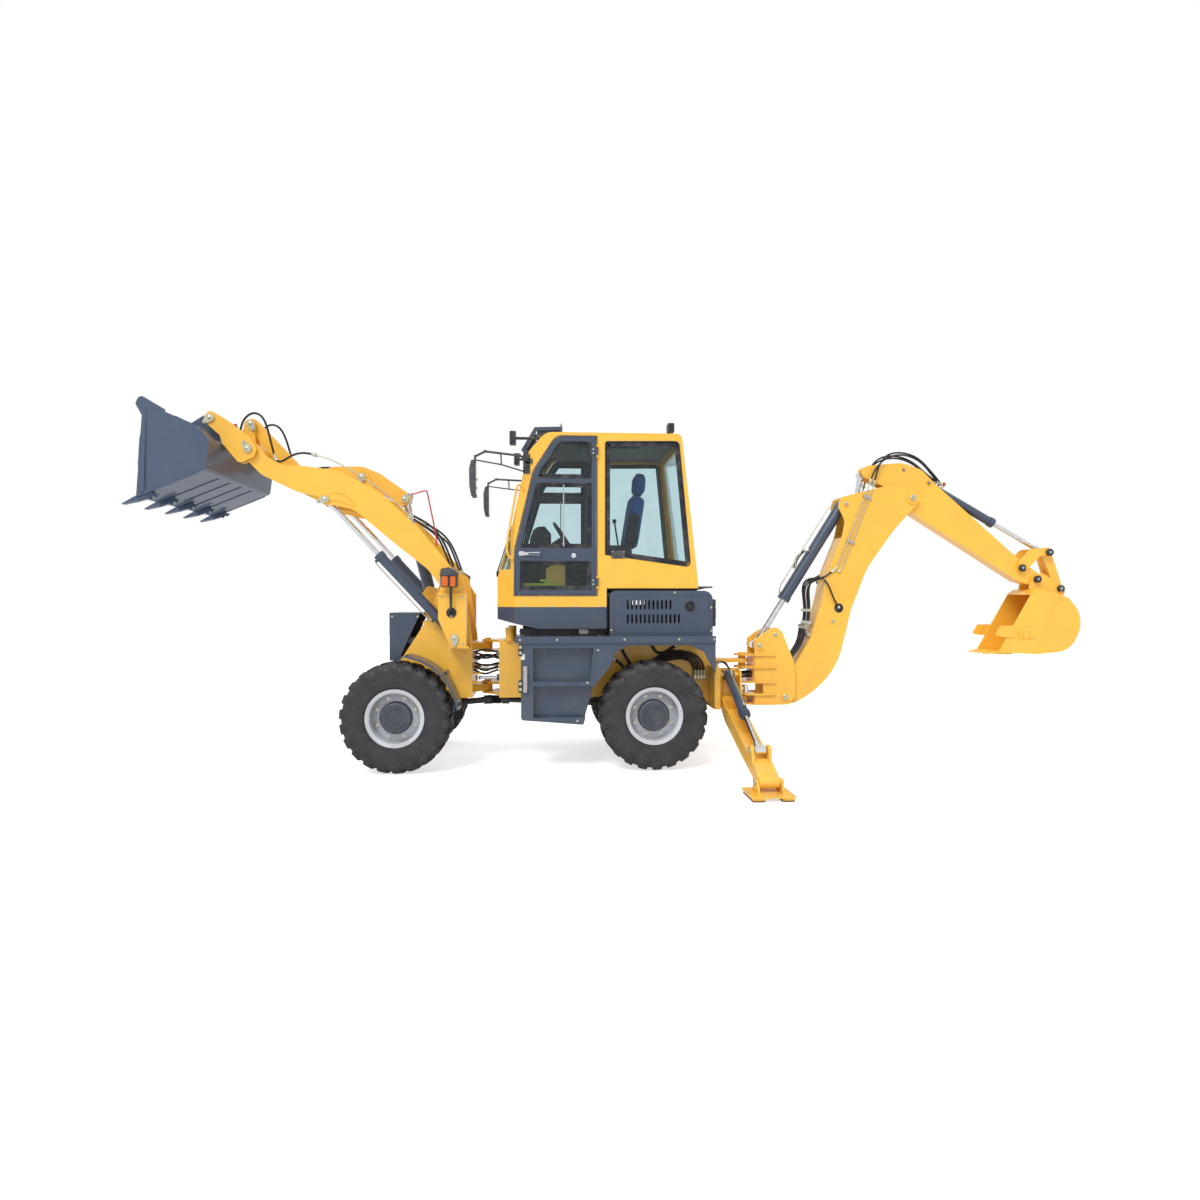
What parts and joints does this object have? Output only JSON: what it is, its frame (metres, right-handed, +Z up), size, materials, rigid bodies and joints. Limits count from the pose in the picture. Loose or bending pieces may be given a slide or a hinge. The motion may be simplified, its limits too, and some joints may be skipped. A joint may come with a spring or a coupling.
{
  "type": "backhoe loader",
  "caption": "Articulated backhoe loader with front bucket on raised lift arms, hollow cab, hood, curved rear boom with dipper and digging bucket, and two folding stabilizer legs.",
  "frame": {"origin": "middle of the bottom of the whole machine's bounding box, on the ground", "axes": "+X forwards towards the loader, +Y to the left, +Z up"},
  "size_m": [9.8905, 4.43, 3.5888],
  "materials": {
    "yellow_paint": "semi-gloss",
    "grey_paint": "semi-gloss",
    "rod_chrome": "polished",
    "tyre": "matte",
    "rim_silver": "satin",
    "glass": "clear",
    "seat_fabric": "woven",
    "lamp_plastic": "gloss"
  },
  "bodies": {
    "chassis": {"rear_frame": "yellow_paint", "rear_axle": "grey_paint", "swing_barrels": "grey_paint", "engine": "grey_paint", "hood": "grey_paint", "platform": "grey_paint", "cab_shell": "yellow_paint", "cab_floor": "grey_paint", "cab_glass": "glass", "seat": "seat_fabric", "controls": "grey_paint", "mirrors": "grey_paint", "lamps": "lamp_plastic"},
    "front_frame": {"front_frame": "yellow_paint", "front_axle": "grey_paint", "front_guards": "grey_paint", "front_lamps": "lamp_plastic"},
    "steering_barrel": {"steering_barrel": "grey_paint"},
    "steering_rod": {"steering_rod": "rod_chrome"},
    "loader_arms": {"loader_arms": "yellow_paint"},
    "loader_bucket": {"loader_coupler": "yellow_paint", "loader_bucket": "grey_paint"},
    "tilt_lever": {"tilt_lever": "yellow_paint"},
    "tilt_link": {"tilt_link": "yellow_paint"},
    "tilt_barrel": {"tilt_barrel": "grey_paint"},
    "tilt_rod": {"tilt_rod": "rod_chrome"},
    "lift_barrels": {"lift_barrels": "grey_paint"},
    "lift_rods": {"lift_rods": "rod_chrome"},
    "swing_post": {"swing_post": "yellow_paint"},
    "boom": {"boom": "yellow_paint"},
    "boom_barrel": {"boom_barrel": "grey_paint"},
    "boom_rod": {"boom_rod": "rod_chrome"},
    "dipper": {"dipper": "yellow_paint"},
    "dipper_barrel": {"dipper_barrel": "grey_paint"},
    "dipper_rod": {"dipper_rod": "rod_chrome"},
    "bucket_barrel": {"bucket_barrel": "grey_paint"},
    "bucket_rod": {"bucket_rod": "rod_chrome"},
    "guide_link": {"guide_link": "yellow_paint"},
    "bucket_link": {"bucket_link": "yellow_paint"},
    "backhoe_bucket": {"backhoe_bucket": "yellow_paint"},
    "wheel_front_left": {"tyre_front_left": "tyre", "rim_front_left": "rim_silver"},
    "wheel_front_right": {"tyre_front_right": "tyre", "rim_front_right": "rim_silver"},
    "wheel_rear_left": {"tyre_rear_left": "tyre", "rim_rear_left": "rim_silver"},
    "wheel_rear_right": {"tyre_rear_right": "tyre", "rim_rear_right": "rim_silver"},
    "door_left": {"door_left": "grey_paint"},
    "door_right": {"door_right": "grey_paint"},
    "swing_rod_left": {"swing_rod_left": "rod_chrome"},
    "swing_rod_right": {"swing_rod_right": "rod_chrome"},
    "leg_left": {"leg_left": "yellow_paint"},
    "leg_right": {"leg_right": "yellow_paint"},
    "foot_left": {"foot_left": "yellow_paint"},
    "foot_right": {"foot_right": "yellow_paint"},
    "leg_barrel_left": {"leg_barrel_left": "grey_paint"},
    "leg_barrel_right": {"leg_barrel_right": "grey_paint"},
    "leg_rod_left": {"leg_rod_left": "rod_chrome"},
    "leg_rod_right": {"leg_rod_right": "rod_chrome"}
  },
  "joints": [
    {"name": "articulation", "type": "hinge", "parent": "chassis", "child": "front_frame", "pos_m": [1.58779, 0, 0], "axis": [0, 0, 1], "range_deg": [-32, 32]},
    {"name": "steering_barrel_swing", "type": "hinge", "parent": "chassis", "child": "steering_barrel", "pos_m": [1.09279, 0.205, 0.862], "axis": [0, 0, 1], "range_deg": [-4.71, 4.71]},
    {"name": "steering_rod_stroke", "type": "slide", "parent": "steering_barrel", "child": "steering_rod", "axis": [0.9921, 0.1255, 0], "range_m": [-0.14568, 0.14568]},
    {"name": "wheel_front_left_spin", "type": "hinge", "parent": "front_frame", "child": "wheel_front_left", "pos_m": [2.40779, 0.765, 0.5375], "axis": [0, 1, 0], "continuous": true},
    {"name": "wheel_front_right_spin", "type": "hinge", "parent": "front_frame", "child": "wheel_front_right", "pos_m": [2.40779, -0.765, 0.5375], "axis": [0, 1, 0], "continuous": true},
    {"name": "wheel_rear_left_spin", "type": "hinge", "parent": "chassis", "child": "wheel_rear_left", "pos_m": [-0.09221, 0.765, 0.5375], "axis": [0, 1, 0], "continuous": true},
    {"name": "wheel_rear_right_spin", "type": "hinge", "parent": "chassis", "child": "wheel_rear_right", "pos_m": [-0.09221, -0.765, 0.5375], "axis": [0, 1, 0], "continuous": true},
    {"name": "loader_lift", "type": "hinge", "parent": "front_frame", "child": "loader_arms", "pos_m": [1.91779, 0, 1.855], "axis": [0, -1, 0], "range_deg": [-74, 0]},
    {"name": "lift_barrels_swing", "type": "hinge", "parent": "front_frame", "child": "lift_barrels", "pos_m": [1.87779, 0, 1.29], "axis": [0, -1, 0], "range_deg": [-65.5, 1.33]},
    {"name": "lift_rods_stroke", "type": "slide", "parent": "lift_barrels", "child": "lift_rods", "axis": [0.6802, 0, 0.733], "range_m": [-0.61835, 0]},
    {"name": "loader_tilt", "type": "hinge", "parent": "loader_arms", "child": "loader_bucket", "pos_m": [3.90779, 0, 3.17], "axis": [0, 1, 0], "range_deg": [-110, 20]},
    {"name": "tilt_lever_swing", "type": "hinge", "parent": "loader_arms", "child": "tilt_lever", "pos_m": [2.89779, 0, 2.97], "axis": [0, 1, 0], "range_deg": [-9.54, 47.31]},
    {"name": "tilt_link_swing", "type": "hinge", "parent": "tilt_lever", "child": "tilt_link", "pos_m": [3.45779, 0, 2.89], "axis": [0, 1, 0], "range_deg": [-78.87, 15.87]},
    {"name": "tilt_barrel_swing", "type": "hinge", "parent": "front_frame", "child": "tilt_barrel", "pos_m": [2.20779, 0, 1.77], "axis": [0, -1, 0], "range_deg": [-88.46, 1.78]},
    {"name": "tilt_rod_stroke", "type": "slide", "parent": "tilt_barrel", "child": "tilt_rod", "axis": [0.2496, 0, 0.9684], "range_m": [-0.07044, 0.36596]},
    {"name": "door_left_swing", "type": "hinge", "parent": "chassis", "child": "door_left", "pos_m": [0.45579, 0.722, 1.85], "axis": [0, 0, 1], "range_deg": [0, 100]},
    {"name": "door_right_swing", "type": "hinge", "parent": "chassis", "child": "door_right", "pos_m": [0.45579, -0.722, 1.85], "axis": [0, 0, -1], "range_deg": [0, 100]},
    {"name": "backhoe_swing", "type": "hinge", "parent": "chassis", "child": "swing_post", "pos_m": [-1.19221, 0, 0], "axis": [0, 0, 1], "range_deg": [-80, 80]},
    {"name": "swing_rod_left_stroke", "type": "slide", "parent": "chassis", "child": "swing_rod_left", "axis": [1, 0, 0], "range_m": [-0.15118, 0.15118]},
    {"name": "swing_rod_right_stroke", "type": "slide", "parent": "chassis", "child": "swing_rod_right", "axis": [1, 0, 0], "range_m": [-0.15118, 0.15118]},
    {"name": "boom_lift", "type": "hinge", "parent": "swing_post", "child": "boom", "pos_m": [-1.62221, 0, 0.62], "axis": [0, 1, 0], "range_deg": [-60, 20]},
    {"name": "boom_barrel_swing", "type": "hinge", "parent": "boom", "child": "boom_barrel", "pos_m": [-2.32221, 0, 2.73], "axis": [0, -1, 0], "range_deg": [-1.05, 2.89]},
    {"name": "boom_rod_stroke", "type": "slide", "parent": "boom_barrel", "child": "boom_rod", "axis": [0.5344, 0, -0.8452], "range_m": [-0.19784, 0.57735]},
    {"name": "dipper_swing", "type": "hinge", "parent": "boom", "child": "dipper", "pos_m": [-3.07221, 0, 2.8], "axis": [0, 1, 0], "range_deg": [-47, 25]},
    {"name": "dipper_barrel_swing", "type": "hinge", "parent": "boom", "child": "dipper_barrel", "pos_m": [-2.17221, 0, 1.44], "axis": [0, -1, 0], "range_deg": [-2.17, 3.93]},
    {"name": "dipper_rod_stroke", "type": "slide", "parent": "dipper_barrel", "child": "dipper_rod", "axis": [-0.2227, 0, 0.9749], "range_m": [-0.2481, 0.45989]},
    {"name": "backhoe_bucket_curl", "type": "hinge", "parent": "dipper", "child": "backhoe_bucket", "pos_m": [-4.51221, 0, 1.905], "axis": [0, -1, 0], "range_deg": [-100, 30]},
    {"name": "guide_link_swing", "type": "hinge", "parent": "dipper", "child": "guide_link", "pos_m": [-4.34221, 0, 2.03], "axis": [0, -1, 0], "range_deg": [-88.66, 28.2]},
    {"name": "bucket_link_swing", "type": "hinge", "parent": "guide_link", "child": "bucket_link", "pos_m": [-4.65721, 0, 2.205], "axis": [0, -1, 0], "range_deg": [-11.86, 37.23]},
    {"name": "bucket_barrel_swing", "type": "hinge", "parent": "dipper", "child": "bucket_barrel", "pos_m": [-3.28221, 0, 2.975], "axis": [0, -1, 0], "range_deg": [-3.13, 1.03]},
    {"name": "bucket_rod_stroke", "type": "slide", "parent": "bucket_barrel", "child": "bucket_rod", "axis": [-0.8725, 0, -0.4886], "range_m": [-0.43097, 0.13351]},
    {"name": "leg_left_fold", "type": "hinge", "parent": "chassis", "child": "leg_left", "pos_m": [-0.91221, 0.6, 0.64], "axis": [1, 0, 0], "range_deg": [0, 80]},
    {"name": "foot_left_tilt", "type": "hinge", "parent": "leg_left", "child": "foot_left", "pos_m": [-0.91221, 2.04, 0.13], "axis": [1, 0, 0], "range_deg": [-16, 30]},
    {"name": "leg_barrel_left_swing", "type": "hinge", "parent": "chassis", "child": "leg_barrel_left", "pos_m": [-0.91221, 0.56, 0.9], "axis": [1, 0, 0], "range_deg": [-1.65, 81.48]},
    {"name": "leg_rod_left_stroke", "type": "slide", "parent": "leg_barrel_left", "child": "leg_rod_left", "axis": [0, 0.9085, -0.4179], "range_m": [-0.34814, 0]},
    {"name": "leg_right_fold", "type": "hinge", "parent": "chassis", "child": "leg_right", "pos_m": [-0.91221, -0.6, 0.64], "axis": [-1, 0, 0], "range_deg": [0, 80]},
    {"name": "foot_right_tilt", "type": "hinge", "parent": "leg_right", "child": "foot_right", "pos_m": [-0.91221, -2.04, 0.13], "axis": [-1, 0, 0], "range_deg": [-16, 30]},
    {"name": "leg_barrel_right_swing", "type": "hinge", "parent": "chassis", "child": "leg_barrel_right", "pos_m": [-0.91221, -0.56, 0.9], "axis": [-1, 0, 0], "range_deg": [-1.65, 81.48]},
    {"name": "leg_rod_right_stroke", "type": "slide", "parent": "leg_barrel_right", "child": "leg_rod_right", "axis": [0, -0.9085, -0.4179], "range_m": [-0.34814, 0]}
  ],
  "couplings": [
    {"joint": "steering_barrel_swing", "follows": "articulation", "ratio": 0.14},
    {"joint": "steering_rod_stroke", "follows": "articulation", "m_per_rad": -0.25484},
    {"joint": "lift_barrels_swing", "follows": "loader_lift", "ratio": 0.86715},
    {"joint": "lift_rods_stroke", "follows": "loader_lift", "m_per_rad": 0.47364},
    {"joint": "tilt_lever_swing", "follows": "loader_tilt", "ratio": -0.41969},
    {"joint": "tilt_link_swing", "follows": "loader_tilt", "ratio": 0.7},
    {"joint": "tilt_barrel_swing", "follows": "loader_lift", "ratio": 1.1713},
    {"joint": "tilt_rod_stroke", "follows": "loader_tilt", "m_per_rad": -0.18813},
    {"joint": "swing_rod_left_stroke", "follows": "backhoe_swing", "m_per_rad": -0.1058},
    {"joint": "swing_rod_right_stroke", "follows": "backhoe_swing", "m_per_rad": 0.1058},
    {"joint": "boom_barrel_swing", "follows": "boom_lift", "ratio": -0.0461},
    {"joint": "boom_rod_stroke", "follows": "boom_lift", "m_per_rad": -0.54361},
    {"joint": "dipper_barrel_swing", "follows": "dipper_swing", "ratio": -0.08},
    {"joint": "dipper_rod_stroke", "follows": "dipper_swing", "m_per_rad": -0.55158},
    {"joint": "guide_link_swing", "follows": "backhoe_bucket_curl", "ratio": 0.86364},
    {"joint": "bucket_link_swing", "follows": "backhoe_bucket_curl", "ratio": -0.36237},
    {"joint": "bucket_barrel_swing", "follows": "backhoe_bucket_curl", "ratio": 0.03},
    {"joint": "bucket_rod_stroke", "follows": "backhoe_bucket_curl", "m_per_rad": 0.24347},
    {"joint": "leg_barrel_left_swing", "follows": "leg_left_fold", "ratio": 0.99798},
    {"joint": "leg_rod_left_stroke", "follows": "leg_left_fold", "m_per_rad": -0.24651},
    {"joint": "leg_barrel_right_swing", "follows": "leg_right_fold", "ratio": 0.99798},
    {"joint": "leg_rod_right_stroke", "follows": "leg_right_fold", "m_per_rad": -0.24651}
  ]
}
